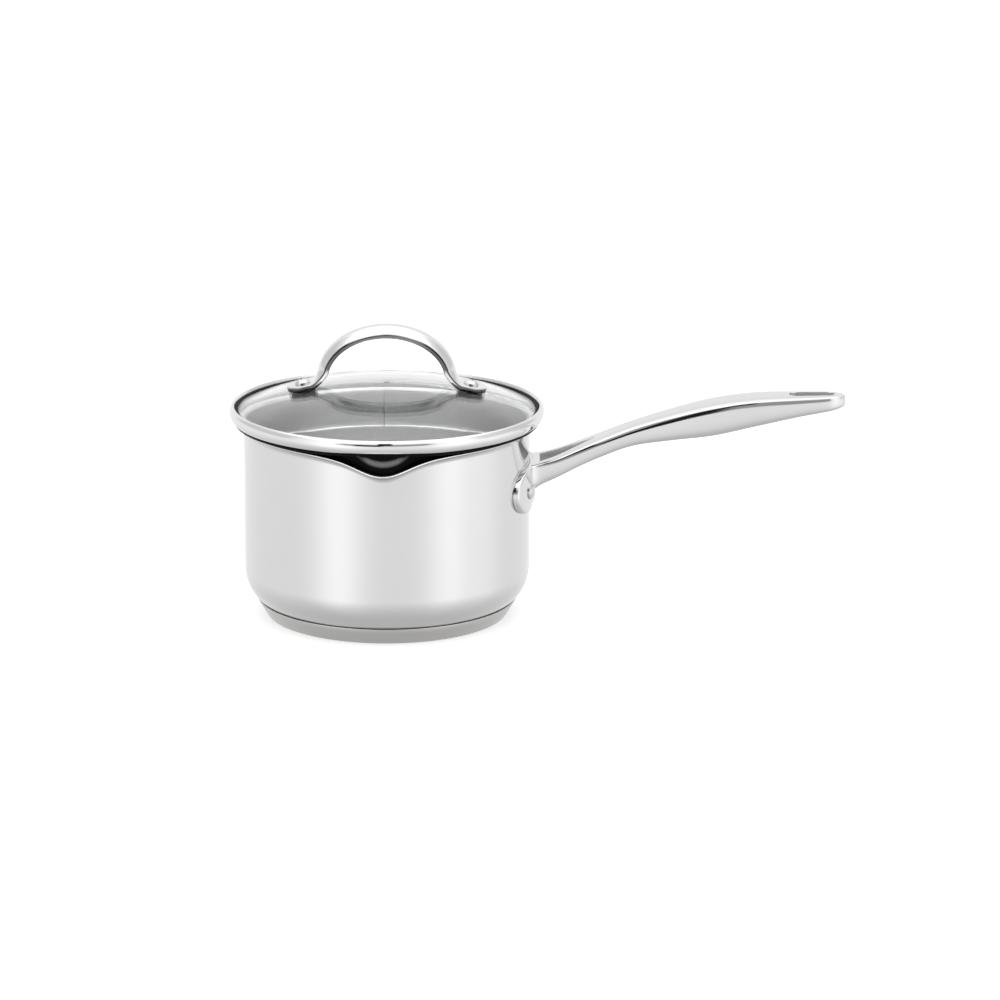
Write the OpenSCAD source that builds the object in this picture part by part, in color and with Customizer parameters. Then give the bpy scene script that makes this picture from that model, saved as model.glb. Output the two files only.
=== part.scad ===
// 16 cm stainless saucepan with a pouring spout, a cast side handle and a domed glass lid.
// Frame: origin at the middle of the base underside, +Z up, long handle along +X, spout at -Y.

/* [Pan body] */
// outer radius of the straight wall
pan_r = 81; // [60:0.5:120]
// sheet thickness of the wall and floor
wall = 1.0; // [0.6:0.1:2]
// height of the centre of the corner arc
corner_z = 27; // [15:0.5:40]
// outer radius of the corner arc
corner_r = 22.5; // [10:0.5:30]
// highest point of the rolled rim
rim_top = 111; // [60:0.5:160]

/* [Spout] */
// how far the lip of the spout stands out from the wall
spout_out = 14; // [6:0.5:20]
// how far the lip of the spout drops under the rim
spout_drop = 8.3; // [2:0.1:12]
// angular half width of the spout
spout_half = 17.9; // [8:0.1:25]

/* [Base] */
// outer radius of the base cap where it meets the body
seam_r = 74; // [60:0.5:100]
// height of the seam between cap and body
seam_z = 10.3; // [5:0.1:15]
// radius of the flat underside
foot_r = 67.6; // [50:0.5:90]

/* [Long handle] */
// outer radius of the riveted flange
flange_r = 84.3; // [83:0.1:88]
// sideways centre of each lobe of the flange
lobe_y = 24.5; // [20:0.5:32]
// height of the centre of the lobes
lobe_z = 76.5; // [74:0.1:82]
// half width of a lobe
lobe_w = 14.2; // [12:0.1:20]
// half height of a lobe
lobe_h = 12.4; // [10:0.1:16]
// angle of each rivet from the handle axis
rivet_angle = 15; // [10:0.5:25]
// height of the rivets
rivet_z = 76.4; // [50:0.1:100]
// diameter of the rivet shank
rivet_d = 5; // [3:0.1:8]
// middle of the hanging slot
hang_x = 240.4; // [200:0.1:245]
// length of the hanging slot
hang_len = 26.4; // [10:0.5:40]
// width of the hanging slot
hang_w = 9.6; // [4:0.1:14]

/* [Lid] */
// outer radius of the glass dome
dome_r = 240; // [150:1:400]
// height of the crown of the glass
dome_top = 134; // [100:0.5:180]
// glass thickness
glass_t = 4; // [3:0.1:6]
// radius of the glass edge
glass_r = 84.2; // [60:0.1:120]
// widest radius of the steel band
band_r = 89; // [70:0.5:130]
// sheet thickness of the steel band
band_t = 0.75; // [0.4:0.05:1.5]
// outer radius and lower edge of the skirt inside the pan
skirt_r = 78.6; // [60:0.1:79.0]
skirt_z = 88.7; // [70:0.1:108]
// how far the hem at the skirt's lower edge turns in
hem = 0.5; // [0:0.1:1]
// direction and width of the strip's butt seam
seam_a = 92.8; // [0:0.1:360]
seam_w = 0.5; // [0.1:0.05:1]
// lower edge of the seat gasket's sleeve
sleeve_z = 96; // [90:0.5:108]
// underside of the band's flange
flange_z = 112.85; // [111:0.05:120]
// distance of the two handle screws from the middle
screw_x = 47; // [30:0.5:60]

/* [Lid handle] */
// half width and height of the oval arch, measured to its crown line
arch_rx = 39.4; // [25:0.1:50]
arch_rz = 30.5; // [20:0.1:50]
// height of the centre of the oval
arch_z = 136.8; // [120:0.1:150]
// strap width
strap_w = 20; // [12:0.5:30]
// strap thickness
strap_t = 2.9; // [1.5:0.1:4]
// height of the crown across the strap
strap_crown = 4; // [0:0.1:4]

/* [Lid fixings] */
// diameter of the screw shank
screw_d = 4; // [3:0.1:6]
// diameter of the screw head
head_d = 8.4; // [6:0.1:12]
// thickness of the pad between tab and glass
pad_t = 0.5; // [0.4:0.1:3]
// diameter of the cup washer under the glass
cup_d = 14.8; // [12:0.1:18]
// number of notches round each cup washer
notches = 14; // [6:1:20]

/* [Hidden] */
corner_c = pan_r - corner_r;
join_z = 85;
seg_t = 90;
seg_p = 7;
t_max = 78;
rim_out = 3.3;
dome_cz = dome_top - dome_r;
tilt = asin(screw_x / dome_r);

steel = [0.80, 0.81, 0.82];
satin = [0.68, 0.69, 0.70];
alu = [0.74, 0.75, 0.77];
black = [0.06, 0.06, 0.06];
clear = [0.80, 0.88, 0.90, 0.45];

// ---- helpers ----
function lerp(a, b, t) = a + (b - a) * t;
function find(tab, x, i = 0) = (i >= len(tab) - 2 || x < tab[i + 1][0]) ? i : find(tab, x, i + 1);
function slope(tab, i, c) =
    i <= 0 ? (tab[1][c] - tab[0][c]) / (tab[1][0] - tab[0][0]) :
    i >= len(tab) - 1 ? (tab[i][c] - tab[i - 1][c]) / (tab[i][0] - tab[i - 1][0]) :
    (tab[i + 1][c] - tab[i - 1][c]) / (tab[i + 1][0] - tab[i - 1][0]);
// smooth curve through a table, column c against column 0
function curve(tab, x, c) = let (i = find(tab, x), h = tab[i + 1][0] - tab[i][0],
    u = min(1, max(0, (x - tab[i][0]) / h)), m0 = slope(tab, i, c) * h, m1 = slope(tab, i + 1, c) * h)
    (2 * u * u * u - 3 * u * u + 1) * tab[i][c] + (u * u * u - 2 * u * u + u) * m0
    + (3 * u * u - 2 * u * u * u) * tab[i + 1][c] + (u * u * u - u * u) * m1;
// closed skin over equal rings, with the first and last ring capped by strips
module skin(rings) {
    n = len(rings[0]);
    m = len(rings);
    pts = [for (r = rings) for (p = r) p];
    side = [for (i = [0 : m - 2]) for (j = [0 : n - 1]) for (k = [0, 1]) let (j2 = (j + 1) % n)
        k == 0 ? [i * n + j, i * n + j2, (i + 1) * n + j]
               : [i * n + j2, (i + 1) * n + j2, (i + 1) * n + j]];
    cap = [for (j = [0 : n / 2 - 2]) for (k = [0, 1])
        k == 0 ? [j, n - 2 - j, j + 1] : [j, n - 1 - j, n - 2 - j]];
    last = (m - 1) * n;
    polyhedron(pts, concat(side, cap, [for (f = cap) [last + f[0], last + f[2], last + f[1]]]));
}
// closed skin over rings that run round a full turn
module loop_skin(rings) {
    n = len(rings[0]);
    m = len(rings);
    pts = [for (r = rings) for (p = r) p];
    polyhedron(pts, [for (i = [0 : m - 1]) for (j = [0 : n - 1]) for (k = [0, 1])
        let (j2 = (j + 1) % n, i2 = (i + 1) % m)
        k == 0 ? [i * n + j, i * n + j2, i2 * n + j]
               : [i * n + j2, i2 * n + j2, i2 * n + j]]);
}
module ring(r1, r2, z1, z2, f = 200) {
    translate([0, 0, z1]) difference() {
        cylinder(r = r2, h = z2 - z1, $fn = f);
        translate([0, 0, -1]) cylinder(r = r1, h = z2 - z1 + 2, $fn = f);
    }
}

// ---- pan body ----
// bell weight of the spout at an angle from its middle
function bell(d) = 1 / pow(1 + pow(d / spout_half, 2), 2);
function off_spout(a) = let (d = abs(a + 90)) d > 180 ? 360 - d : d;
function flare_p(a) = (rim_out + (spout_out - rim_out) * bell(off_spout(a))) / (1 - cos(t_max));
function flare_h(a) = 3.5 + 2.5 * bell(off_spout(a));
function flare_z(a) = rim_top - wall * sin(t_max) + 0.1 - spout_drop * bell(off_spout(a));
function rim_ring(a) = let (p = flare_p(a), h = flare_h(a), z = flare_z(a) - h, s = 0.05, f = 0.06)
    [for (q = concat(
        [[pan_r - s, join_z - 1]],
        [for (k = [0 : seg_p]) let (t = k * t_max / seg_p)
            [pan_r - s * (1 - k / seg_p) + p * (1 - cos(t)), z + h * sin(t)]],
        [for (k = [seg_p : -1 : 0]) let (t = k * t_max / seg_p)
            [pan_r + f * (1 - k / seg_p) + p - (p + wall) * cos(t), z + (h + wall) * sin(t)]],
        [[pan_r - wall + f + 0.06, join_z - 1]]))
        [q[0] * cos(a), q[0] * sin(a), q[1]]];

module bowl(r, z0, c) {
    // solid of revolution with a rounded foot
    translate([0, 0, corner_z]) cylinder(r = r, h = 80, $fn = 200);
    translate([0, 0, z0]) cylinder(r = corner_c, h = 50, $fn = 200);
    translate([0, 0, corner_z]) rotate_extrude($fn = 200) translate([corner_c, 0]) circle(r = c, $fn = 96);
}
module pan_body() {
    color(steel) difference() {
        union() {
            difference() {
                bowl(pan_r, corner_z - corner_r, corner_r);
                bowl(pan_r - wall, corner_z - corner_r + wall, corner_r - wall);
                translate([0, 0, join_z]) cylinder(r = 120, h = 80, $fn = 60);
            }
            loop_skin([for (i = [0 : seg_t - 1]) rim_ring(i * 360 / seg_t)]);
        }
        for (s = [-1, 1]) rotate([0, 0, s * rivet_angle]) translate([pan_r - 8, 0, rivet_z])
            rotate([0, 90, 0]) cylinder(d = rivet_d + 0.1, h = 16, $fn = 40);
    }
}

// ---- encapsulated base ----
module body_clear() {
    // the outside of the body's floor and corner, a little enlarged
    translate([0, 0, corner_z - corner_r - 0.02]) cylinder(r = corner_c, h = 50, $fn = 200);
    translate([0, 0, corner_z]) rotate_extrude($fn = 200)
        translate([corner_c, 0]) circle(r = corner_r + 0.02, $fn = 96);
}
module base_core() {
    color(alu) difference() {
        translate([0, 0, 0.85]) cylinder(r1 = foot_r, r2 = seam_r - 1.3, h = 8.6, $fn = 200);
        body_clear();
    }
}
module base_cap() {
    color(satin) difference() {
        union() {
            cylinder(r1 = foot_r, r2 = foot_r + 1.3, h = 0.6, $fn = 200);
            translate([0, 0, 0.6]) cylinder(r1 = foot_r + 1.3, r2 = foot_r + 2, h = 1.1, $fn = 200);
            translate([0, 0, 1.7]) cylinder(r1 = foot_r + 2, r2 = seam_r, h = seam_z - 1.7, $fn = 200);
        }
        translate([0, 0, 0.8]) cylinder(r1 = foot_r + 0.05, r2 = seam_r - 1.15, h = 8.75, $fn = 200);
        translate([0, 0, 9.5]) cylinder(r = seam_r - 1.2, h = 2, $fn = 200);
        body_clear();
    }
}

// ---- long handle ----
// x, half width, height of the top edge, crown, underside
GRIP = [[84, 15.4, 89.0, 0.5, 75.2], [96, 14.4, 92.4, 0.8, 80.8], [108, 12.7, 97.1, 1.1, 86.8],
    [120, 11.4, 101.9, 1.4, 92.1], [138, 11.0, 108.8, 1.6, 98.8], [160, 12.1, 115.7, 1.75, 102.4],
    [184, 13.5, 121.9, 1.8, 105.5], [208, 13.4, 125.5, 1.6, 111.0], [232, 11.3, 126.8, 1.2, 116.2],
    [244, 9.8, 127.3, 0.9, 118.3], [250, 8.7, 127.6, 0.7, 119.3], [254, 7.2, 127.6, 0.55, 120.2],
    [257, 5.2, 127.5, 0.4, 121.1], [258.6, 3.2, 127.2, 0.3, 121.9], [259, 1.7, 126.8, 0.2, 122.6]];
function grip_ring(x) = let (w = curve(GRIP, x, 1), e = curve(GRIP, x, 2), c = curve(GRIP, x, 3),
    b = curve(GRIP, x, 4), h = e - b, k = min(1, w / 6))
    [for (q = concat(
        [for (i = [-4 : 4]) [i / 4 * (w - 0.6 * k), e + c * (1 - pow(i / 4, 4))]],
        [[w - 0.5 * k, e - 0.7 * k], [w, e - h * 0.25], [w * 0.98, e - h * 0.75], [w * 0.84, b + h * 0.06],
         [w * 0.45, b], [0, b - 0.2 * k], [-w * 0.45, b], [-w * 0.84, b + h * 0.06],
         [-w * 0.98, e - h * 0.75], [-w, e - h * 0.25], [-w + 0.5 * k, e - 0.7 * k]])) [x, q[0], q[1]]];
// places of the rings along the grip, closer together at the tip
XS = concat([for (x = [84 : 4 : 148]) x], [for (x = [154 : 6 : 244]) x],
    [248, 251, 253.5, 255.5, 257, 258.2, 259]);
// half outline of the flange seen along the handle: an oval lobe round each rivet
LOBE = [for (a = [-130 : 10 : 90]) [lobe_y + lobe_w * cos(a), lobe_z + lobe_h * sin(a)]];
module fork_slot() {
    // tapered gap between the two prongs, rounded at the tip
    translate([0, 0, 60]) linear_extrude(height = 60) polygon(concat(
        [[flange_r + 2.6, 9.3], [flange_r + 2.6, -9.3]],
        [for (a = [-90 : 15 : 90]) [116 + 1.3 * cos(a), 1.3 * sin(a)]]));
}
module hang_slot() {
    translate([hang_x, 0, 100]) linear_extrude(height = 40) union() {
        translate([-(hang_len - hang_w) / 2, 0]) circle(d = hang_w, $fn = 40);
        translate([(hang_len - hang_w) / 2, 0]) circle(d = hang_w * 0.86, $fn = 40);
        polygon([[-(hang_len - hang_w) / 2, -hang_w / 2], [(hang_len - hang_w) / 2, -hang_w * 0.43],
                 [(hang_len - hang_w) / 2, hang_w * 0.43], [-(hang_len - hang_w) / 2, hang_w / 2]]);
    }
}
module handle() {
    color(steel) difference() {
        union() {
            intersection() {
                ring(pan_r + 0.03, flange_r, 60, 96, 240);
                translate([60, 0, 0]) rotate([90, 0, 90]) linear_extrude(height = 40)
                    polygon(concat(LOBE, [for (i = [len(LOBE) - 1 : -1 : 0]) [-LOBE[i][0], LOBE[i][1]]]));
            }
            difference() {
                skin([for (x = XS) grip_ring(x)]);
                translate([0, 0, 50]) cylinder(r = flange_r - 1.2, h = 60, $fn = 240);
                fork_slot();
            }
        }
        hang_slot();
        for (s = [-1, 1]) rotate([0, 0, s * rivet_angle]) translate([pan_r - 8, 0, rivet_z])
            rotate([0, 90, 0]) cylinder(d = rivet_d + 0.1, h = 30, $fn = 40);
    }
}
module rivet(s) {
    color(steel) rotate([0, 0, s * rivet_angle]) {
        translate([pan_r - 2, 0, rivet_z]) rotate([0, 90, 0]) cylinder(d = rivet_d, h = 7, $fn = 40);
        difference() {
            translate([flange_r - 0.6, 0, rivet_z]) rotate([0, 90, 0]) intersection() {
                cylinder(d = 10, h = 3.2, $fn = 60);
                translate([0, 0, -5.0]) sphere(r = 8, $fn = 60);
            }
            translate([0, 0, 50]) cylinder(r = flange_r + 0.02, h = 60, $fn = 240);
        }
        intersection() {
            translate([pan_r - 3, 0, rivet_z]) rotate([0, 90, 0]) cylinder(d = 9, h = 3, $fn = 60);
            translate([0, 0, 50]) cylinder(r = pan_r - wall - 0.02, h = 60, $fn = 240);
        }
    }
}

// ---- lid ----
module on_dome(s) {
    // local frame on the glass where a handle screw goes through, z along its normal
    translate([0, 0, dome_cz]) rotate([0, s * tilt, 0]) translate([0, 0, dome_r]) children();
}
module lid_glass() {
    color(clear) difference() {
        intersection() {
            translate([0, 0, dome_cz]) sphere(r = dome_r, $fn = 300);
            translate([0, 0, 100]) cylinder(r = glass_r, h = 60, $fn = 240);
        }
        translate([0, 0, dome_cz]) sphere(r = dome_r - glass_t, $fn = 300);
        for (s = [-1, 1]) on_dome(s) translate([0, 0, -10]) cylinder(d = 7, h = 20, $fn = 40);
    }
}
// quarter oval from angle a0 to a1, centre [x, z], radii [rx, rz]
function oval(c, r, a0, a1, n = 6) =
    [for (i = [0 : n]) let (a = lerp(a0, a1, i / n)) [c[0] + r[0] * cos(a), c[1] + r[1] * sin(a)]];
module lid_band() {
    // one rolled strip: skirt inside the pan, flange over the rim, rounded bead round the glass
    b = 2.25;
    bend = [skirt_r + b, flange_z - b];
    color(steel) difference() {
        rotate_extrude($fn = 240) polygon(concat(
            [[skirt_r, skirt_z]],
            oval(bend, [b, b], 180, 90, 4),
            oval([86, 117.4], [band_r - 86, 117.4 - flange_z], -90, 0),
            oval([86.8, 117.4], [band_r - 86.8, 3.6], 15, 90),
            oval([86.8, 118.8], [1, 2.2], 120, 180, 2),
            [[85.8, flange_z + band_t]],
            oval(bend, [b + band_t, b + band_t], 90, 180, 4),
            [[skirt_r - band_t, skirt_z + 1.6]],
            oval([skirt_r - band_t, skirt_z + 0.6], [hem, 0.6], 100, 250, 4)));
        // butt seam of the strip, at the far side
        rotate([0, 0, seam_a]) translate([skirt_r - band_t - 2, -seam_w / 2, skirt_z - 1])
            cube([2.4, seam_w, flange_z - skirt_z]);
    }
}
module glass_gasket() {
    color(black) difference() {
        ring(83.6, 85.78, 113.62, 119.0, 240);
        difference() {
            intersection() {
                translate([0, 0, dome_cz]) sphere(r = dome_r + 5, $fn = 300);
                translate([0, 0, 100]) cylinder(r = glass_r + 0.02, h = 60, $fn = 240);
            }
            translate([0, 0, dome_cz]) sphere(r = dome_r - glass_t - 0.02, $fn = 300);
        }
    }
}
module seat_gasket() {
    // black ring under the flange, with a sleeve down the outside of the skirt
    b = 2.23;
    top = flange_z - 0.02;
    low = flange_z - 1.55;
    out = skirt_r + 0.8;
    color(black) rotate_extrude($fn = 240) polygon(concat(
        [[skirt_r + 0.02, sleeve_z]],
        oval([skirt_r + 0.02 + b, top - b], [b, b], 180, 90, 4),
        [[86.3, top], [86.3, low + 0.3], [86.0, low]],
        oval([out + 1.6, low - 1.6], [1.6, 1.6], 90, 180, 4),
        [[out, sleeve_z + 0.4], [out - 0.4, sleeve_z]]));
}
// crown line of the strap: x, z, outward direction, crown height, half width
// foot_d: where the tab's flat starts; tab_d: centre of its round end, both measured out from the screw
cap_r = strap_w / 2;
tab_d = -1.0;
leg_a = 80;
foot_d = -3.6;
function arc_pt(a) = let (n = norm([arch_rz * sin(a), arch_rx * cos(a)]))
    [arch_rx * sin(a), arch_z + arch_rz * cos(a), arch_rz * sin(a) / n, arch_rx * cos(a) / n];
leg_e = arc_pt(leg_a);
leg_n = atan2(leg_e[2], leg_e[3]);
tab_h = dome_r + pad_t + 0.05 + strap_t;
tab0 = [sin(tilt) * tab_h, dome_cz + cos(tilt) * tab_h];
function tab_pt(d) = [tab0[0] + d * cos(tilt), tab0[1] - d * sin(tilt), sin(tilt), cos(tilt)];
// corner where the line of the leg meets the plane of the tab
leg_run = ((leg_e[1] - tab0[1]) + (leg_e[0] - tab0[0]) * tan(tilt)) / (sin(leg_n) - cos(leg_n) * tan(tilt));
foot = [leg_e[0] + leg_run * cos(leg_n), leg_e[1] - leg_run * sin(leg_n)];
function bez(a, b, c, t) = a * (1 - t) * (1 - t) + b * 2 * t * (1 - t) + c * t * t;
function strap_half() = concat(
    [for (i = [0 : 10]) concat(arc_pt(i * leg_a / 10), [strap_crown, cap_r])],
    [for (i = [1 : 6]) let (t = i / 6, g = lerp(leg_n, tilt, t),
        p = bez([leg_e[0], leg_e[1]], foot, tab_pt(foot_d), t))
        [p[0], p[1], sin(g), cos(g), strap_crown * (1 - t), cap_r]],
    [for (d = [-1.4, 0.6]) concat(tab_pt(d), [0, cap_r])],
    [for (a = [15 : 15 : 75]) concat(tab_pt(tab_d + cap_r * sin(a)), [0, cap_r * cos(a)])],
    [concat(tab_pt(tab_d + cap_r * 0.9945), [0, cap_r * 0.105])]);
function strap_ring(q, s) = let (w = q[5], n = [s * q[2], q[3]])
    [for (k = concat([for (j = [-3 : 3]) [j / 3, 0]], [for (j = [3 : -1 : -3]) [j / 3, 1]]))
        let (o = -q[4] * k[0] * k[0] - k[1] * strap_t) [s * q[0] + n[0] * o, k[0] * w, q[1] + n[1] * o]];
module lid_handle() {
    h = strap_half();
    n = len(h);
    color(steel) difference() {
        skin(concat([for (i = [n - 1 : -1 : 1]) strap_ring(h[i], -1)],
            [for (i = [0 : n - 1]) strap_ring(h[i], 1)]));
        for (s = [-1, 1]) on_dome(s) cylinder(d = screw_d + 0.6, h = 12, $fn = 32);
    }
}
module screw(s) {
    color(steel) on_dome(s) {
        difference() {
            translate([0, 0, pad_t + 0.1 + strap_t]) intersection() {
                cylinder(d = head_d, h = 2.8, $fn = 48);
                translate([0, 0, -2.6]) sphere(r = 5.4, $fn = 60);
            }
            // cross recess
            for (a = [0, 90]) rotate([0, 0, a])
                translate([-2, -0.45, pad_t + 1.7 + strap_t]) cube([4, 0.9, 3]);
        }
        translate([0, 0, -7.7]) cylinder(d = screw_d, h = 7.7 + pad_t + 0.3 + strap_t, $fn = 32);
    }
}
module pad(s) {
    color(black) on_dome(s) difference() {
        union() {
            cylinder(d = 14.4, h = pad_t, $fn = 60);
            translate([0, 0, -4]) cylinder(d = 6.8, h = 4.5, $fn = 40);
        }
        translate([0, 0, -6]) cylinder(d = screw_d + 0.3, h = 10, $fn = 32);
        difference() {
            translate([0, 0, -dome_r]) sphere(r = dome_r + 0.03, $fn = 300);
            translate([0, 0, -8]) cylinder(d = 6.9, h = 16, $fn = 40);
        }
    }
}
module washer(s) {
    // ribbed cup under the glass that the nut sits in
    color(black) on_dome(s) difference() {
        translate([0, 0, -8.5]) cylinder(d = cup_d, h = 4.4, $fn = 60);
        translate([0, 0, -9.5]) cylinder(d = 11, h = 4, $fn = 48);
        translate([0, 0, -7]) cylinder(d = screw_d + 0.3, h = 10, $fn = 32);
        for (i = [0 : notches - 1]) rotate([0, 0, (i + 0.5) * 360 / notches])
            translate([cup_d / 2, 0, -9.5]) cylinder(d = 1.9, h = 2.9, $fn = 16);
    }
}
module nut(s) {
    color(steel) on_dome(s) difference() {
        union() {
            translate([0, 0, -6.1]) cylinder(d = 10.4, h = 0.58, $fn = 48);
            translate([0, 0, -8.6]) cylinder(d = 8.2, h = 2.6, $fn = 6);
        }
        translate([0, 0, -7.8]) cylinder(d = screw_d + 0.1, h = 10, $fn = 32);
    }
}

pan_body();
base_core();
base_cap();
handle();
rivet(-1);  // rivet_near
rivet(1);  // rivet_far
lid_glass();
lid_band();
glass_gasket();
seat_gasket();
lid_handle();
screw(-1);  // screw_left
screw(1);  // screw_right
pad(-1);  // pad_left
pad(1);  // pad_right
washer(-1);  // washer_left
washer(1);  // washer_right
nut(-1);  // nut_left
nut(1);  // nut_right
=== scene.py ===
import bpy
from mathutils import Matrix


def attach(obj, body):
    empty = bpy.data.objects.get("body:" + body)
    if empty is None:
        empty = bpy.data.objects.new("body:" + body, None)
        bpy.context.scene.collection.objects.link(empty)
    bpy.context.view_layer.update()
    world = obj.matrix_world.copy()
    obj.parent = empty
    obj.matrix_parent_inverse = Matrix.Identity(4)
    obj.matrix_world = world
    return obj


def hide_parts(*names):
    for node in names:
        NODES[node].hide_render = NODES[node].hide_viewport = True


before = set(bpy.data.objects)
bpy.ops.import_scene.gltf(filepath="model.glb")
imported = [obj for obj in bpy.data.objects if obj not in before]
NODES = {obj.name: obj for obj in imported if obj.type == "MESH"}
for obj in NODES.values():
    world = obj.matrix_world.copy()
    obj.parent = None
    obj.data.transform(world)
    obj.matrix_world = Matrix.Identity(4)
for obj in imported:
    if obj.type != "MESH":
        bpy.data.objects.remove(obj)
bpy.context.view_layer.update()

import math

import bmesh
import bpy
from mathutils import Matrix, Vector

MM = 0.001
# points closer than this, in millimetres, are one, and edges sharper than this, in degrees, stay sharp
SAME_PLACE, SHARP_ANGLE = 0.002, 38

# ---- sizes in millimetres, the same as the CAD source's ----
PAN_R, WALL, CORNER_Z, CORNER_R, RIM_TOP = 81.0, 1.0, 27.0, 22.5, 111.0
CORNER_C = PAN_R - CORNER_R
RIM_OUT, RIM_H, SPOUT_H, T_MAX = 3.3, 3.5, 6.0, 78.0
SPOUT_OUT, SPOUT_DROP, SPOUT_HALF = 14.0, 8.3, 17.9
SEAM_R, SEAM_Z, FOOT_R = 74.0, 10.3, 67.6
FLANGE_R, LOBE_Y, LOBE_Z, LOBE_W, LOBE_H = 84.3, 24.5, 76.5, 14.2, 12.4
FORK_X, FORK_HALF, FORK_TIP, FORK_TIP_R = 86.9, 9.3, 116.0, 1.3
HANG_X, HANG_LEN, HANG_W, HANG_W_TIP = 240.4, 26.4, 9.6, 8.3
DOME_R, DOME_TOP = 240.0, 134.0
DOME_CZ = DOME_TOP - DOME_R
SCREW_X = 47.0
TILT = math.asin(SCREW_X / DOME_R)
BAND_R, BAND_T, SKIRT_R, SKIRT_Z, FLANGE_Z = 89.0, 0.75, 78.6, 88.7, 112.85
HEM, SEAM_A, SEAM_W, BEND_R = 0.5, 92.8, 0.5, 2.25
ARCH_RX, ARCH_RZ, ARCH_Z = 39.4, 30.5, 136.8
STRAP_W, STRAP_T, STRAP_CROWN, PAD_T = 20.0, 2.9, 4.0, 0.5
# along the grip: x, half width, height of the top edge, crown, underside
GRIP = [[84, 15.4, 89.0, 0.5, 75.2], [96, 14.4, 92.4, 0.8, 80.8], [108, 12.7, 97.1, 1.1, 86.8],
        [120, 11.4, 101.9, 1.4, 92.1], [138, 11.0, 108.8, 1.6, 98.8], [160, 12.1, 115.7, 1.75, 102.4],
        [184, 13.5, 121.9, 1.8, 105.5], [208, 13.4, 125.5, 1.6, 111.0], [232, 11.3, 126.8, 1.2, 116.2],
        [244, 9.8, 127.3, 0.9, 118.3], [250, 8.7, 127.6, 0.7, 119.3], [254, 7.2, 127.6, 0.55, 120.2],
        [257, 5.2, 127.5, 0.4, 121.1], [258.6, 3.2, 127.2, 0.3, 121.9], [259, 1.7, 126.8, 0.2, 122.6]]


# ---- geometry helpers ----
def cosd(a):
    return math.cos(math.radians(a))


def sind(a):
    return math.sin(math.radians(a))


def lerp(a, b, t):
    return a + (b - a) * t


def span(a, b, n):
    """n + 1 even steps from a to b."""
    return [lerp(a, b, i / n) for i in range(n + 1)]


def curve(x, c):
    """Smooth curve through column c of GRIP against its first column."""
    i = max(0, min(len(GRIP) - 2, sum(row[0] <= x for row in GRIP) - 1))

    def slope(k):
        a, b = GRIP[max(k - 1, 0)], GRIP[min(k + 1, len(GRIP) - 1)]
        return (b[c] - a[c]) / (b[0] - a[0])

    h = GRIP[i + 1][0] - GRIP[i][0]
    u = min(1, max(0, (x - GRIP[i][0]) / h))
    return ((2 * u ** 3 - 3 * u ** 2 + 1) * GRIP[i][c] + (u ** 3 - 2 * u ** 2 + u) * slope(i) * h
            + (3 * u ** 2 - 2 * u ** 3) * GRIP[i + 1][c] + (u ** 3 - u ** 2) * slope(i + 1) * h)


def arc(cx, cy, rx, ry, a0, a1, n):
    """Points on an oval from angle a0 to a1."""
    return [(cx + rx * cosd(a), cy + ry * sind(a)) for a in span(a0, a1, n)]


def build(name, points, faces, body, slot, materials, face_slots=None, stands_for=()):
    """A smooth mesh piece from points in millimetres."""
    mesh = bpy.data.meshes.new(name)
    mesh.from_pydata([[v * MM for v in p] for p in points], [], faces)
    mesh.validate()
    for m in materials:
        mesh.materials.append(m)
    if face_slots:
        mesh.polygons.foreach_set("material_index", face_slots)
    mesh.polygons.foreach_set("use_smooth", [True] * len(mesh.polygons))
    piece = bpy.data.objects.new(name, mesh)
    bpy.context.scene.collection.objects.link(piece)
    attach(piece, body)
    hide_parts(*stands_for)
    return piece


def loft(rings, cap_first=False, cap_last=False, loop=False):
    """Points and faces over closed rings of equal length."""
    n = len(rings[0])
    points = [p for ring in rings for p in ring]
    faces = []
    count = len(rings)
    for i in range(count if loop else count - 1):
        a, b = i * n, ((i + 1) % count) * n
        for j in range(n):
            k = (j + 1) % n
            faces.append((a + j, a + k, b + k, b + j))
    if cap_first:
        faces.append(tuple(range(n - 1, -1, -1)))
    if cap_last:
        faces.append(tuple(range((count - 1) * n, count * n)))
    return points, faces


def capped_turn(profile, turns):
    """Solid of revolution whose section starts and ends on the axis."""
    start, *middle, end = profile(0)
    points, faces = [(0, 0, start[1]), (0, 0, end[1])], []
    n = len(middle)
    for a in span(0, 360, turns)[:-1]:
        points += [(r * cosd(a), r * sind(a), z) for r, z in profile(a)[1:-1]]
    for i in range(turns):
        a, b = 2 + i * n, 2 + ((i + 1) % turns) * n
        faces.append((0, b, a))
        faces += [(a + j, b + j, b + j + 1, a + j + 1) for j in range(n - 1)]
        faces.append((1, a + n - 1, b + n - 1))
    return points, faces, n


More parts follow.
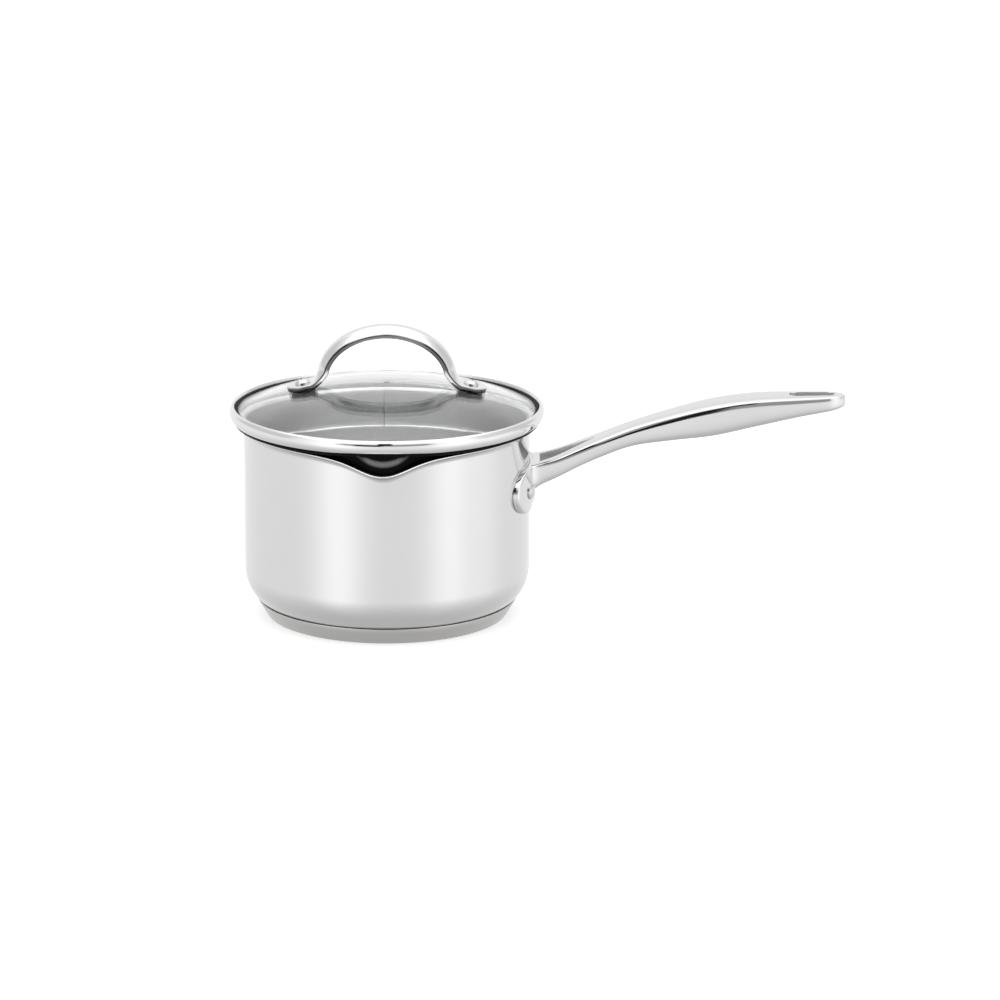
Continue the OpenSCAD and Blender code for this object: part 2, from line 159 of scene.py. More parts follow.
# ---- materials ----
class Graph:
    """A node material with one Principled shader and short ways to feed it."""

    def __init__(self, name, **values):
        self.material = bpy.data.materials.new(name)
        self.material.use_nodes = True
        self.tree = self.material.node_tree
        self.shader = self.tree.nodes["Principled BSDF"]
        for key, value in values.items():
            self.shader.inputs[key.replace("_", " ")].default_value = value
        self.place = self.tree.nodes.new("ShaderNodeTexCoord").outputs["Object"]

    def node(self, kind, inputs=(), **settings):
        n = self.tree.nodes.new(kind)
        for key, value in settings.items():
            setattr(n, key, value)
        for key, value in dict(inputs).items():
            if isinstance(value, bpy.types.NodeSocket):
                self.tree.links.new(value, n.inputs[key])
            else:
                n.inputs[key].default_value = value
        return n

    def math(self, operation, a, b=0.0):
        return self.node("ShaderNodeMath", {0: a, 1: b}, operation=operation).outputs[0]

    def scaled(self, x, y, z):
        """Object coordinates stretched per axis."""
        factors = {0: self.place, 1: (x, y, z)}
        return self.node("ShaderNodeVectorMath", factors, operation="MULTIPLY").outputs[0]

    def around(self, along, across):
        """Coordinates that change slowly round the Z axis and fast along its height and radius."""
        split = self.node("ShaderNodeSeparateXYZ", {0: self.place})
        x, y, z = split.outputs
        radius = self.math("SQRT", self.math("ADD", self.math("MULTIPLY", x, x), self.math("MULTIPLY", y, y)))
        fast = self.math("MULTIPLY", self.math("ADD", z, radius), across)
        slow_x, slow_y = self.math("MULTIPLY", x, along), self.math("MULTIPLY", y, along)
        return self.node("ShaderNodeCombineXYZ", {0: slow_x, 1: slow_y, 2: fast}).outputs[0]

    def noise(self, vector, scale, detail=3.0, rough=0.6):
        return self.node("ShaderNodeTexNoise", {"Vector": vector, "Scale": scale, "Detail": detail,
                                                "Roughness": rough}).outputs["Fac"]

    def between(self, value, low, high, low_in=0.3, high_in=0.7):
        """The value, from low_in to high_in, spread from low to high."""
        return self.node("ShaderNodeMapRange", {0: value, 1: low_in, 2: high_in, 3: low, 4: high}).outputs[0]

    def grey(self, value, low, high, tint=(1, 1, 1)):
        """A colour between two greys of one tint."""
        mix = self.node("ShaderNodeMix", data_type="RGBA")
        self.tree.links.new(value, mix.inputs["Factor"])
        mix.inputs["A"].default_value = (*[low * t for t in tint], 1)
        mix.inputs["B"].default_value = (*[high * t for t in tint], 1)
        return mix.outputs["Result"]

    def feed(self, socket, value):
        self.tree.links.new(value, self.shader.inputs[socket])

    def bump(self, height, strength, distance):
        n = self.node("ShaderNodeBump", {"Height": height, "Strength": strength, "Distance": distance})
        self.feed("Normal", n.outputs["Normal"])


def polished(name, base, rough):
    """Mirror polished steel with faint cloudy wear and fine polishing lines."""
    g = Graph(name, Metallic=1.0)
    cloud = g.noise(g.place, 60.0)
    lines = g.noise(g.around(40.0, 1500.0), 1.0)
    g.feed("Base Color", g.grey(cloud, base * 0.985, base * 1.015))
    g.feed("Roughness", g.between(lines, rough * 0.85, rough * 1.2))
    g.bump(lines, 0.02, 0.00002)
    return g.material


def brushed(name, base, rough, depth, tint=(1, 1, 1)):
    """Steel brushed round the Z axis."""
    g = Graph(name, Metallic=1.0)
    lines = g.noise(g.around(25.0, 2600.0), 1.0, 4.0, 0.7)
    coarse = g.noise(g.around(12.0, 700.0), 1.0)
    g.feed("Base Color", g.grey(lines, base * 0.94, base * 1.06, tint))
    g.feed("Roughness", g.between(coarse, rough * 0.9, rough * 1.12))
    g.bump(lines, 0.25, depth)
    return g.material


def cast(name, base, rough):
    """Polished cast steel with the faint waviness of hand finishing."""
    g = Graph(name, Metallic=1.0)
    fine = g.noise(g.scaled(0.25, 1.0, 1.0), 900.0)
    cloud = g.noise(g.place, 45.0)
    g.feed("Base Color", g.grey(cloud, base * 0.98, base * 1.02))
    g.feed("Roughness", g.between(fine, rough * 0.85, rough * 1.2))
    g.bump(fine, 0.03, 0.00002)
    return g.material


def edge_painted_light(name, heights, rough):
    """Steel of the strap's cut edge with painted highlights and painted shade by height; heights lists pairs
    of a height in millimetres and the grey there.
    """
    g = Graph(name, Metallic=1.0)
    fine = g.noise(g.scaled(1.0, 0.2, 1.0), 1200.0)
    height = g.node("ShaderNodeSeparateXYZ", {0: g.place}).outputs[2]
    low, high = heights[0][0], heights[-1][0]
    ramp = g.node("ShaderNodeValToRGB", {0: g.between(height, 0.0, 1.0, low * MM, high * MM)})
    stops = ramp.color_ramp.elements
    while len(stops) < len(heights):
        stops.new(1.0)
    for stop, (place, grey) in zip(stops, heights):
        stop.position = (place - low) / (high - low)
        stop.color = (grey, grey, grey, 1)
    g.feed("Base Color", ramp.outputs[0])
    g.feed("Roughness", g.between(fine, rough * 0.85, rough * 1.2))
    return g.material


def satin(name, base, rough):
    """Satin steel brushed up and down, with soft upright bands."""
    g = Graph(name, Metallic=1.0)
    lines = g.noise(g.scaled(600.0, 600.0, 8.0), 1.0)
    bands = g.noise(g.scaled(45.0, 45.0, 1.5), 1.0, 1.0)
    g.feed("Base Color", g.grey(bands, base * 0.94, base * 1.06))
    g.feed("Roughness", g.between(lines, rough * 0.88, rough * 1.14))
    return g.material


def silicone(name, base, rough, ior):
    """Black silicone with a fine moulded grain."""
    g = Graph(name, IOR=ior, Specular_IOR_Level=0.15)
    grain = g.noise(g.place, 2500.0)
    cloud = g.noise(g.place, 200.0)
    g.feed("Base Color", g.grey(cloud, base * 0.8, base * 1.2))
    g.feed("Roughness", g.between(grain, rough * 0.9, rough * 1.1))
    g.bump(grain, 0.15, 0.00005)
    return g.material


def sleeve_silicone_with_painted_sheen(name):
    """Glossy black silicone with a painted sheen on its front, behind the spout: a curved painted reflection
    of the spout's lip.
    """
    g = Graph(name, IOR=1.4, Specular_IOR_Level=0.1)
    grain = g.noise(g.place, 2500.0)
    x, y, z = g.node("ShaderNodeSeparateXYZ", {0: g.place}).outputs
    # the painted reflection of the spout's lip lies along a parabola over x, in metres: its lowest height,
    # how fast it rises, its half thickness and half width
    lowest, rise = 0.1057, 27.0
    core, soft = 0.0006, 0.0022
    full, faded = 0.008, 0.0145
    height = g.math("ADD", g.math("MULTIPLY", g.math("MULTIPLY", x, x), rise), lowest)
    off = g.math("ABSOLUTE", g.math("SUBTRACT", z, height))
    painted_reflection = g.math("MULTIPLY", g.between(off, 1.0, 0.0, core, soft),
                   g.between(g.math("ABSOLUTE", x), 1.0, 0.0, full, faded))
    painted_reflection = g.math("MULTIPLY", painted_reflection, g.between(y, 1.0, 0.0, -0.06, -0.05))
    # the base colour turns grey inside the band: a painted reflection, not a colour of the silicone
    g.feed("Base Color", g.grey(painted_reflection, 0.002, 0.32))
    g.feed("Roughness", g.between(grain, 0.22, 0.3))
    return g.material


def clear_glass(name):
    """Clear tempered glass with barely uneven faces."""
    g = Graph(name, IOR=1.5, Transmission_Weight=1.0)
    g.shader.inputs["Roughness"].default_value = 0.0
    cloud = g.noise(g.place, 18.0, 1.0)
    g.feed("Base Color", g.grey(cloud, 0.965, 0.985, (0.985, 1.0, 0.992)))
    g.bump(cloud, 0.02, 0.0002)
    return g.material


POLISHED = polished("polished_steel_outside", 0.69, 0.10)
# the satin steels inside are lighter than the polished steel outside: painted light on the shaded inside of
# the pan and of the lid's skirt
INSIDE = satin("satin_steel_inside", 0.78, 0.22)
SKIRT = satin("satin_skirt_inside", 0.86, 0.24)
BRUSHED = brushed("brushed_base", 0.60, 0.33, 0.00003, (1.0, 0.99, 0.975))
BAND = polished("polished_band", 0.76, 0.03)
CAST = cast("polished_casting", 0.70, 0.08)
STRAP = cast("polished_strap", 0.74, 0.08)
RAW_CAST = cast("casting_unpolished", 0.69, 0.40)
# near-black steel for the seam's groove: painted shade in the recess
GROOVE_PAINTED_SHADE = cast("groove_painted_shade", 0.08, 0.30)
# the strap's edges: painted highlights and painted shade in bands by height
EDGE_FACE = edge_painted_light("strap_edge_face", ((131, 0.10), (133.5, 0.22), (136, 0.85), (140.5, 0.80),
                                         (143, 0.16), (152, 0.12), (160, 0.27)), 0.16)
EDGE_UPPER = edge_painted_light("strap_edge_upper", ((131, 0.50), (134, 0.10), (150, 0.03), (157, 0.04),
                                           (161, 0.74)), 0.16)
EDGE_LOWER = edge_painted_light("strap_edge_lower", ((131, 0.01), (152, 0.02), (161, 0.45)), 0.16)
FIXING = cast("fixing_steel", 0.66, 0.12)
CORE = brushed("core_aluminium", 0.75, 0.4, 0.00002)
GLASS = clear_glass("lid_glass_clear")
RUBBER = silicone("black_silicone_satin", 0.002, 0.5, 1.3)
PAINTED_SHEEN_RUBBER = sleeve_silicone_with_painted_sheen("black_silicone_painted_reflection")
WASHER = silicone("grey_washer", 0.45, 0.35, 1.45)


# ---- pan ----
def bell(d):
    """1 at the spout's middle, falling smoothly to 0 with the angle d from it."""
    return 1 / (1 + (d / SPOUT_HALF) ** 2) ** 2


def pan_section(a):
    """Section of the pan body at angle a, from under its floor round the lip to the floor inside."""
    off = abs((a + 90 + 180) % 360 - 180)
    p = (RIM_OUT + (SPOUT_OUT - RIM_OUT) * bell(off)) / (1 - cosd(T_MAX))
    h = lerp(RIM_H, SPOUT_H, bell(off))
    top = RIM_TOP - WALL * sind(T_MAX) + 0.1 - SPOUT_DROP * bell(off)
    z0 = top - h
    t_end = T_MAX - 0.75 * WALL / (p * math.radians(1))
    floor_radii, wall_heights = [0, 20, 40, CORNER_C - 0.6], [CORNER_Z + 0.6, 45, 65, 84]
    outside = [(r, CORNER_Z - CORNER_R) for r in floor_radii]
    outside += arc(CORNER_C, CORNER_Z, CORNER_R, CORNER_R, -90, 0, 24)
    outside += [(PAN_R, z) for z in wall_heights]
    start = -math.degrees(0.3 / h)
    outside += [(PAN_R + p * (1 - cosd(t)), z0 + h * sind(t)) for t in [start] + span(0, t_end, 16)[1:]]
    inside = [(PAN_R + p - (p + WALL) * cosd(t), z0 + (h + WALL) * sind(t)) for t in span(t_end, 0, 16)]
    (ax, az), (bx, bz) = outside[-1], inside[0]
    mid, half = ((ax + bx) / 2, (az + bz) / 2), ((ax - bx) / 2, (az - bz) / 2)
    lip = [(mid[0] + half[0] * cosd(u) - half[1] * sind(u), mid[1] + half[1] * cosd(u) + half[0] * sind(u))
           for u in span(0, 180, 6)[1:-1]]
    inner_r = CORNER_R - WALL
    inside += [(PAN_R - WALL, z) for z in reversed(wall_heights)]
    inside += arc(CORNER_C, CORNER_Z, inner_r, inner_r, 0, -90, 24)
    inside += [(r, CORNER_Z - CORNER_R + WALL) for r in reversed(floor_radii)]
    return outside + lip + inside, len(outside) + len(lip) // 2


def make_pan():
    points, faces, n = capped_turn(lambda a: pan_section(a)[0], 360)
    split = pan_section(0)[1] - 1
    slots = [0 if i % (n + 1) <= split else 1 for i in range(len(faces))]
    build("pan_shell", points, faces, "pan", "polished_steel", [POLISHED, INSIDE], slots, ["pan_body"])


def make_base():
    outer = [(0, 0), (30, 0), (60, 0), (FOOT_R - 0.5, 0)] + arc(FOOT_R, 1.0, 1.25, 1.0, -90, -12, 6)
    outer += [(lerp(FOOT_R + 1.9, SEAM_R, t), lerp(1.7, SEAM_Z - 0.85, t)) for t in (0.05, 0.3, 0.6, 0.97)]
    outer += [(SEAM_R - 0.15, SEAM_Z - 0.75), (SEAM_R - 0.3, SEAM_Z - 0.68), (SEAM_R - 0.8, SEAM_Z - 0.6)]
    inner = [(SEAM_R - 1.05, SEAM_Z - 0.7), (SEAM_R - 1.3, 9.3), (FOOT_R + 0.1, 0.85)]
    inner += [(60, 0.8), (30, 0.8), (0, 0.8)]
    points, faces, _ = capped_turn(lambda a: outer + inner, 288)
    build("base_shell", points, faces, "pan", "brushed_steel", [BRUSHED], None, ["base_cap"])


# ---- long handle ----
HANG_X0 = HANG_X - (HANG_LEN - HANG_W) / 2
HANG_X1 = HANG_X + (HANG_LEN - HANG_W) / 2


def slot_half(x):
    """Half width of the through slots at x: the fork's and the hanging slot's."""
    big, small = HANG_W / 2, HANG_W_TIP / 2
    if FORK_X <= x < FORK_TIP:
        return lerp(FORK_HALF, FORK_TIP_R, (x - FORK_X) / (FORK_TIP - FORK_X))
    if FORK_TIP <= x < FORK_TIP + FORK_TIP_R:
        return math.sqrt(FORK_TIP_R ** 2 - (x - FORK_TIP) ** 2)
    if HANG_X0 - big < x < HANG_X0:
        return math.sqrt(big ** 2 - (x - HANG_X0) ** 2)
    if HANG_X0 <= x <= HANG_X1:
        return lerp(big, small, (x - HANG_X0) / (HANG_X1 - HANG_X0))
    if HANG_X1 < x < HANG_X1 + small:
        return math.sqrt(small ** 2 - (x - HANG_X1) ** 2)
    return 0.0


def grip_half(x):
    """Half section of the grip at x: the slot's wall, then the skin from its top to its bottom edge."""
    w, e, c, b = (curve(x, k) for k in (1, 2, 3, 4))
    h, k, s = e - b, min(1, w / 6), slot_half(x)
    r = min(0.4, 0.6 * s)

    def crown(y):
        return e + c * (1 - (y / w) ** 4)

    # the top ends in a rounded lip; the side leans out under it, then falls straight
    lip = 1.1 * k
    y1 = w - 0.8 * k - 0.5 * lip
    lean = math.degrees(math.atan(4 * c / w * (y1 / w) ** 3))
    yc, zc = y1 - lip * sind(lean), crown(y1) - lip * cosd(lean)
    wall = [(s, lerp(b, crown(s), t)) for t in (0.1, 0.5, 0.85)]
    skin = [(s + r * (1 - cosd(a)), crown(s) - r * (1 - sind(a))) for a in (0, 30, 60, 90)]
    skin += [(y, crown(y)) for y in span(s + r, y1, 10)[1:]]
    skin += [(yc + lip * sind(a), zc + lip * cosd(a)) for a in span(lean, 74, 5)[1:]]
    y2, z2 = skin[-1]
    side = [(lerp(y2, w, 1 - (1 - t) ** 2), lerp(z2, e - 0.34 * h, t)) for t in (0.2, 0.4, 0.6, 0.8, 1)]
    side += [(w, e - 0.45 * h), (w * 0.996, e - 0.57 * h), (w * 0.988, e - 0.7 * h),
             (w * 0.965, e - 0.82 * h), (w * 0.91, e - 0.91 * h), (w * 0.82, e - 0.97 * h),
             (w * 0.62, b + 0.005 * h)]
    skin += [(max(y, s + r), z) for y, z in side]
    skin += [(s + r, b), (s + 0.3 * r, b + 0.1 * r), (s, b + r)]
    return wall, skin


def grip_stations():
    """Places of the rings along the grip, closer together at the root, the slots' ends and the tip."""
    big, small = HANG_W / 2, HANG_W_TIP / 2
    xs = [83.0, 84.4, 84.7, 85.2, 85.8, 86.6, FORK_X] + span(FORK_X, FORK_TIP, 16)[1:]
    xs += [FORK_TIP + FORK_TIP_R * sind(a) for a in (25, 50, 70, 82, 90)]
    xs += span(FORK_TIP + FORK_TIP_R, HANG_X0 - big, 40)[1:]
    xs += [HANG_X0 - big * cosd(a) for a in (8, 20, 35, 50, 65, 80)]
    xs += span(HANG_X0, HANG_X1, 8)
    xs += [HANG_X1 + small * sind(a) for a in (15, 30, 45, 60, 75, 90)]
    return xs + span(HANG_X1 + small, 255, 3)[1:] + [256, 257, 257.8, 258.4, 258.8, 259]


def at_root(x, y, z):
    """The point moved so that the first rings follow the round flange and flare into it."""
    start, bend_run, flare_out, flare_run = 83, 14, 1.4, 5.5
    near = max(0, 1 - (x - start) / bend_run)
    flare = flare_out * max(0, 1 - (x - FLANGE_R) / flare_run) ** 2
    mid = (curve(x, 2) + curve(x, 4)) / 2
    half = (curve(x, 2) - curve(x, 4)) / 2
    if slot_half(x) < abs(y):
        y += flare * y / curve(x, 1)
        z += flare * min(0, (z - mid) / half)
    return x - near * (FLANGE_R - math.sqrt(FLANGE_R ** 2 - y ** 2)), y, z


def make_grip():
    xs = grip_stations()
    halves = [grip_half(x) for x in xs]
    walls = len(halves[0][0])
    half = walls + len(halves[0][1])
    points = []
    for side in (1, -1):
        for x, (wall, skin) in zip(xs, halves):
            points += [at_root(x, side * y, z) for y, z in wall + skin]
    faces, slots = [], []
    for side, first in ((1, 0), (-1, len(xs) * half)):
        for i in range(len(xs) - 1):
            is_open = max(slot_half(xs[i]), slot_half(xs[i + 1])) > 0
            a, b = first + i * half, first + (i + 1) * half
            for j in range(half):
                k = (j + 1) % half
                if is_open or walls <= j < half - 1:
                    face = (a + j, b + j, b + k, a + k)
                    faces.append(face if side > 0 else face[::-1])
                    slots.append(0 if walls <= j < half - 1 else 1)
        root = [first + j for j in range(walls, half)]
        tip = [(len(xs) - 1) * half + j for j in root]
        faces.append(tuple(root if side > 0 else root[::-1]))
        faces.append(tuple(tip[::-1] if side > 0 else tip))
        slots += [0, 0]
    return points, faces, slots


def make_flange():
    """Curved riveted plate with two oval lobes and rounded edges."""
    arm = [(LOBE_Y + LOBE_W * cosd(a), LOBE_Z + LOBE_H * sind(a)) for a in span(-130, 90, 36)]
    bottom = [(y, arm[0][1]) for y in span(-arm[0][0], arm[0][0], 10)[1:-1]]
    top = [(y, arm[-1][1]) for y in span(arm[-1][0], -arm[-1][0], 16)[1:-1]]
    outline = bottom + arm + top + [(-y, z) for y, z in reversed(arm)]
    n = len(outline)
    low, high, edge = PAN_R + 0.05, FLANGE_R, 1.3
    steps = [(0.4, low), (0, low + 0.4)]
    steps += [(edge * (1 - cosd(a)), high - edge * (1 - sind(a))) for a in span(0, 90, 6)]

    def ring(inset, radius, shrink=0.0):
        out = []
        for i, (y, z) in enumerate(outline):
            (y0, z0), (y1, z1) = outline[i - 1], outline[(i + 1) % n]
            dy, dz = y1 - y0, z1 - z0
            size = math.hypot(dy, dz)
            y, z = y - inset * dz / size, z + inset * dy / size
            spine = max(-LOBE_Y, min(LOBE_Y, y))
            y, z = lerp(y, spine * 0.97, shrink), lerp(z, LOBE_Z, shrink)
            out.append((math.sqrt(radius ** 2 - y ** 2), y, z))
        return out

    rings = [ring(0.4, low, t) for t in (0.97, 0.6, 0.25)]
    rings += [ring(inset, radius) for inset, radius in steps]
    rings += [ring(edge, high, t) for t in (0.1, 0.25, 0.45, 0.65, 0.85, 0.97)]
    return loft(rings, cap_first=True, cap_last=True)


def tidy(piece):
    """Merges doubled points, turns every face outwards and keeps real edges sharp."""
    shape = bmesh.new()
    shape.from_mesh(piece.data)
    bmesh.ops.remove_doubles(shape, verts=shape.verts, dist=SAME_PLACE * MM)
    bmesh.ops.dissolve_degenerate(shape, edges=shape.edges, dist=SAME_PLACE * MM)
    bmesh.ops.recalc_face_normals(shape, faces=shape.faces)
    shape.to_mesh(piece.data)
    shape.free()
    piece.data.set_sharp_from_angle(angle=math.radians(SHARP_ANGLE))


def make_handle():
    flange = build("handle_flange", *make_flange(), "pan", "cast_steel", [CAST])
    points, faces, slots = make_grip()
    grip = build("handle_casting", points, faces, "pan", "cast_steel", [CAST, RAW_CAST], slots, ["handle"])
    tidy(flange)
    tidy(grip)
    joined = grip.modifiers.new("join", "BOOLEAN")
    joined.operation, joined.object, joined.solver = "UNION", flange, "EXACT"
    depsgraph = bpy.context.evaluated_depsgraph_get()
    whole = bpy.data.meshes.new_from_object(grip.evaluated_get(depsgraph))
    grip.modifiers.remove(joined)
    grip.data = whole
    bpy.data.objects.remove(flange)
    tidy(grip)


# ---- lid ----
def band_section(groove):
    """Section of the rolled strip, with the inside of the skirt set back by the groove's depth."""
    bend = SKIRT_R + BEND_R, FLANGE_Z - BEND_R
    bead_r, bead_z, top_r, glass_r = 86, 117.4, 86.8, 85.8
    inner = SKIRT_R - BAND_T + groove
    section = [(SKIRT_R, SKIRT_Z + 0.15), (SKIRT_R, 94), (SKIRT_R, 102)]
    section += arc(*bend, BEND_R, BEND_R, 180, 90, 8) + [(85.4, FLANGE_Z)]
    section += arc(bead_r, bead_z, BAND_R - bead_r, bead_z - FLANGE_Z, -90, 0, 20)
    section += arc(top_r, bead_z, BAND_R - top_r, 3.6, 5, 90, 16) + arc(top_r, 118.8, 1, 2.2, 100, 180, 8)
    section += [(glass_r, 117.5), (glass_r, 115)] + arc(85.5, 113.9, 0.3, 0.3, 0, -90, 4)
    section += arc(*bend, BEND_R + BAND_T, BEND_R + BAND_T, 90, 174, 8)
    section += [(inner, 110), (inner, 102), (inner, 94), (inner, SKIRT_Z + 1.6)]
    return section + arc(inner, SKIRT_Z + 0.6, HEM, 0.6, 110, 270, 8) + [(SKIRT_R - 0.15, SKIRT_Z)]


def make_band():
    half = math.degrees(SEAM_W / 2 / SKIRT_R)
    turns = [(a, 0) for a in span(SEAM_A + 0.5, SEAM_A + 359.5, 359)]
    turns += [(SEAM_A - half, 0), (SEAM_A - half * 0.9, 0.4), (SEAM_A + half * 0.9, 0.4), (SEAM_A + half, 0)]
    rings = [[(r * cosd(a), r * sind(a), z) for r, z in band_section(groove)] for a, groove in turns]
    points, faces = loft(rings, loop=True)
    materials = [BAND, SKIRT, GROOVE_PAINTED_SHADE]
    # the skirt's inside is the last stretch of the section, and the seam lies between the last four rings;
    # the seam's groove faces get painted shade
    outside, skirt, groove = 0, 1, 2
    n, skirt_faces = len(rings[0]), 15
    slots = [skirt if n - skirt_faces <= i % n < n - 1 else outside for i in range(len(faces))]
    for i in range((len(turns) - 4) * n, (len(turns) - 1) * n):
        slots[i] = groove if slots[i] else outside
    tidy(build("band_ring", points, faces, "lid", "polished_steel", materials, slots, ["lid_band"]))


def strap_path():
    """Half of the strap's crown line: x, z, outward direction, crown height and half width."""
    cap, leg, foot_at, tab_at = STRAP_W / 2, 80, -3.6, -1.0
    height = DOME_R + PAD_T + 0.05 + STRAP_T
    tab_x, tab_z = math.sin(TILT) * height, DOME_CZ + math.cos(TILT) * height
    tilt = math.degrees(TILT)

    def arch(a):
        outward = math.degrees(math.atan2(ARCH_RZ * sind(a), ARCH_RX * cosd(a)))
        return ARCH_RX * sind(a), ARCH_Z + ARCH_RZ * cosd(a), outward

    def tab(d):
        return tab_x + d * math.cos(TILT), tab_z - d * math.sin(TILT)

    leg_x, leg_z, leg_n = arch(leg)
    run = ((leg_z - tab_z) + (leg_x - tab_x) * math.tan(TILT)) / (sind(leg_n) - cosd(leg_n) * math.tan(TILT))
    foot_x, foot_z = leg_x + run * cosd(leg_n), leg_z - run * sind(leg_n)
    path = [(*arch(a), STRAP_CROWN, cap) for a in span(0, leg, 36)[:-1]]
    end_x, end_z = tab(foot_at)
    for t in span(0, 1, 16):
        u, v, w = (1 - t) ** 2, 2 * t * (1 - t), t * t
        rise, across = leg_z * u + foot_z * v + end_z * w, leg_x * u + foot_x * v + end_x * w
        slope_x = (foot_x - leg_x) * (1 - t) + (end_x - foot_x) * t
        slope_z = (foot_z - leg_z) * (1 - t) + (end_z - foot_z) * t
        outward = math.degrees(math.atan2(-slope_z, slope_x))
        path.append((across, rise, outward, STRAP_CROWN * (1 - t) ** 1.5, cap))
    path += [(*tab(d), tilt, 0, cap) for d in (-2.8, -1.8)]
    path += [(*tab(tab_at + cap * sind(a)), tilt, 0, cap * cosd(a)) for a in span(0, 86, 16)]
    return path


def strap_ring(x, z, angle, crown, half, side):
    """Section across the strap, domed on top, with sides that lean in towards the top."""
    r, lean = min(0.85, 0.25 * half), min(0.1, 0.05 * half)
    top, low = half - lean - r, half - r
    out = [(y, 0) for y in span(-top, top, 10)]
    out += [(top + r * sind(a), r * (1 - cosd(a))) for a in (30, 60, 80)]
    out += [(low + r * cosd(a), STRAP_T - r * (1 - sind(a))) for a in (10, 45, 90)]
    out += [(y, STRAP_T) for y in span(low, -low, 10)[1:-1]]
    out += [(-low - r * cosd(a), STRAP_T - r * (1 - sind(a))) for a in (90, 45, 10)]
    out += [(-top - r * sind(a), r * (1 - cosd(a))) for a in (80, 60, 30)]
    nx, nz = side * sind(angle), cosd(angle)
    ring = []
    for y, depth in out:
        drop = depth + crown * (y / half) ** 2
        ring.append((side * x - nx * drop, y, z - nz * drop))
    return ring


def make_strap():
    path = strap_path()
    rings = [strap_ring(*p, -1) for p in reversed(path[1:])] + [strap_ring(*p, 1) for p in path]
    points, faces = loft(rings, cap_first=True, cap_last=True)
    materials = [STRAP, EDGE_FACE, EDGE_UPPER, EDGE_LOWER]
    # places round strap_ring's section: the upper corner, the flat edge and the lower corner of each side
    face, upper, lower = 1, 2, 3
    section = {11: upper, 12: upper, 13: face, 14: lower, 15: lower,
               26: lower, 27: lower, 28: face, 29: upper, 30: upper}
    n = len(rings[0])
    slots = [section.get(i % n, 0) for i in range(len(faces) - 2)] + [face, face]
    tidy(build("strap_arch", points, faces, "lid", "cast_steel", materials, slots, ["lid_handle"]))


def paint(material, *names):
    for name in names:
        for place in NODES[name].material_slots:
            place.material = material


make_pan()
make_base()
make_handle()
make_band()
make_strap()
paint(CORE, "base_core")
paint(FIXING, "rivet_near", "rivet_far", "screw_left", "screw_right", "nut_left", "nut_right")
# the seat gasket's sleeve carries a painted reflection of the spout's lip
paint(PAINTED_SHEEN_RUBBER, "seat_gasket")
paint(RUBBER, "glass_gasket", "pad_left", "pad_right")
paint(WASHER, "washer_left", "washer_right")
paint(GLASS, "lid_glass")


# ---- studio ----
def make_floor():
    g = Graph("studio_floor", Roughness=0.9)
    cloud = g.noise(g.place, 3.0)
    g.feed("Base Color", g.grey(cloud, 0.88, 0.90))
    g.shader.inputs["Emission Color"].default_value = (1, 1, 1, 1)
    g.shader.inputs["Emission Strength"].default_value = 0.35
    bpy.ops.mesh.primitive_plane_add(size=16, location=(0, 3, 0))
    floor = bpy.context.object
    floor.name = "floor"
    floor.data.materials.append(g.material)
    floor.visible_glossy = False


class Sky(Graph):
    """Node helpers on the world's tree, with directions in place of places."""

    def __init__(self, world):
        world.use_nodes = True
        self.tree = world.node_tree
        self.place = self.tree.nodes.new("ShaderNodeTexCoord").outputs["Generated"]


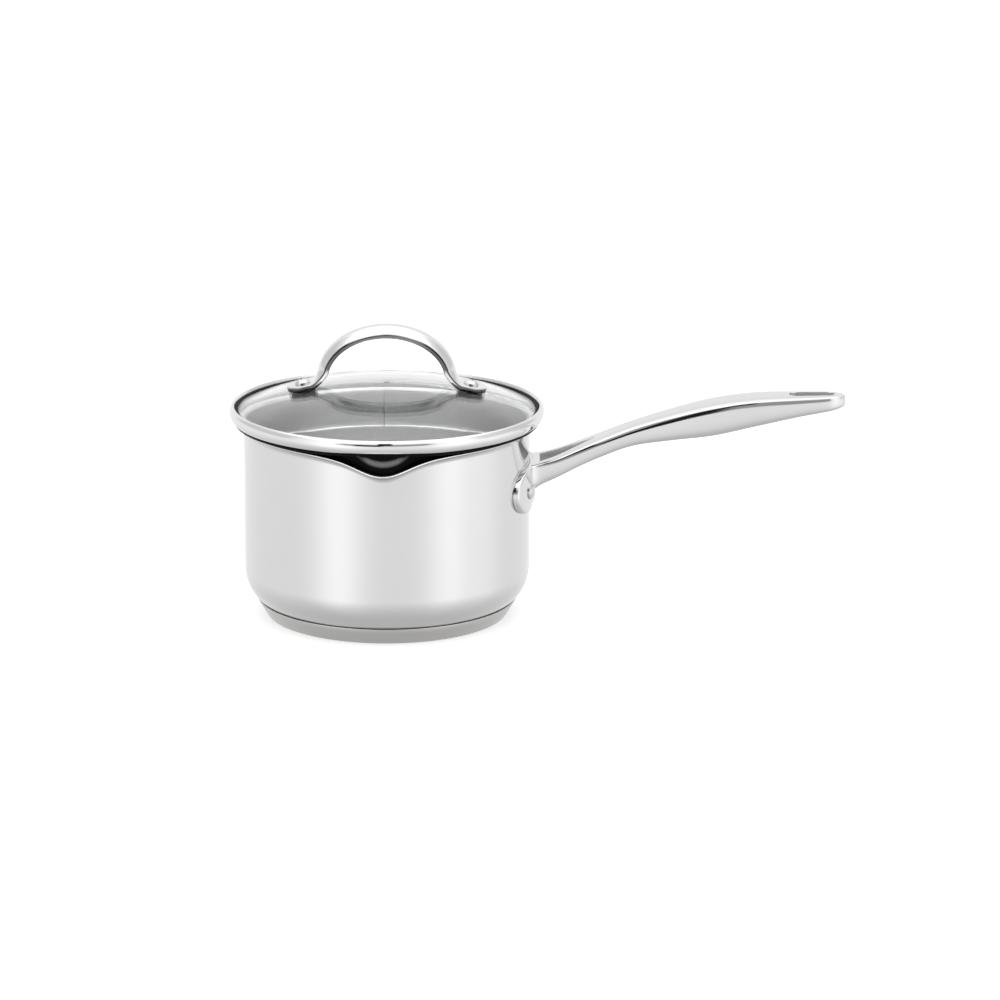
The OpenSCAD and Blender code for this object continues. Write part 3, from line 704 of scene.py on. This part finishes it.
def make_light():
    """White surroundings, brighter overhead, darker below, with soft strips and dark openings."""
    world = bpy.data.worlds.new("studio")
    bpy.context.scene.world = world
    g = Sky(world)
    x, y, z = g.node("ShaderNodeSeparateXYZ", {0: g.place}).outputs
    azimuth = g.math("ARCTAN2", x, g.math("MULTIPLY", y, -1.0))

    def off(value, centre):
        return g.math("ABSOLUTE", g.math("SUBTRACT", value, centre))

    def window(value, centre, half, soft, depth):
        """The depth inside the window, fading to nothing outside it."""
        steps = {0: off(value, centre), 1: half, 2: half + soft, 3: depth, 4: 0.0}
        return g.node("ShaderNodeMapRange", steps, interpolation_type="SMOOTHSTEP").outputs[0]

    # how far the light has risen: nothing straight down, all from a little below the horizon
    risen = g.between(z, 0.0, 1.0, -1.0, -0.25)
    light = g.math("ADD", 0.62, g.math("MULTIPLY", 0.38, g.math("POWER", risen, 1.35)))
    # the overhead panel: the direction's Z where it starts and where it is full, and how much it adds
    overhead = g.node("ShaderNodeMapRange", {0: z, 1: 0.50, 2: 0.80, 3: 0.0, 4: 0.45},
                      interpolation_type="SMOOTHSTEP").outputs[0]
    light = g.math("ADD", light, overhead)
    # soft upright strips: azimuth and width in degrees, and how much they add
    for centre, width, gain in ((-38, 21, 0.37), (53, 20, 0.34), (86, 18, 0.16)):
        ratio = g.math("DIVIDE", off(azimuth, math.radians(centre)), math.radians(width))
        glow = g.math("EXPONENT", g.math("MULTIPLY", g.math("POWER", ratio, 2.0), -1.0))
        strip = g.math("MULTIPLY", g.math("MULTIPLY", glow, gain), g.math("POWER", risen, 1.6))
        light = g.math("ADD", light, strip)
    # dark openings: azimuth, half width and softness in degrees, the same three for the direction's Z, depth
    openings = ((0, 28, 12, 0.26, 0.15, 0.06, 0.62), (0, 4, 3, 0.48, 0.18, 0.04, 1.0),
                (-12, 7, 6, 0.18, 0.11, 0.04, 0.97), (-105, 25, 15, 0.4, 0.3, 0.1, 0.25),
                (105, 25, 15, 0.4, 0.3, 0.1, 0.25))
    for centre_a, half_a, soft_a, centre_z, half_z, soft_z, depth in openings:
        sides = window(azimuth, math.radians(centre_a), math.radians(half_a), math.radians(soft_a), depth)
        mask = g.math("MULTIPLY", sides, window(z, centre_z, half_z, soft_z, 1.0))
        light = g.math("MULTIPLY", light, g.math("SUBTRACT", 1.0, mask))
    background = g.tree.nodes["Background"]
    background.inputs["Color"].default_value = (1, 1, 1, 1)
    g.tree.links.new(light, background.inputs["Strength"])


def make_camera():
    distance, pitch, roll, aim = 2.4, math.radians(14.9), math.radians(0.29), Vector((0.0642, 0, 0.065))
    forward = Vector((0, math.cos(pitch), -math.sin(pitch)))
    right, up = Vector((1, 0, 0)), Vector((0, math.sin(pitch), math.cos(pitch)))
    side = right * math.cos(roll) + up * math.sin(roll)
    top = up * math.cos(roll) - right * math.sin(roll)
    data = bpy.data.cameras.new("camera")
    data.sensor_width, data.lens = 36.0, 151.9
    data.clip_start, data.clip_end = 0.05, 50
    camera = bpy.data.objects.new("camera", data)
    bpy.context.scene.collection.objects.link(camera)
    turn = Matrix((side, top, -forward)).transposed().to_4x4()
    camera.matrix_world = Matrix.Translation(aim - forward * distance) @ turn
    bpy.context.scene.camera = camera


make_floor()
make_light()
make_camera()
bpy.context.scene.view_settings.view_transform = "Standard"
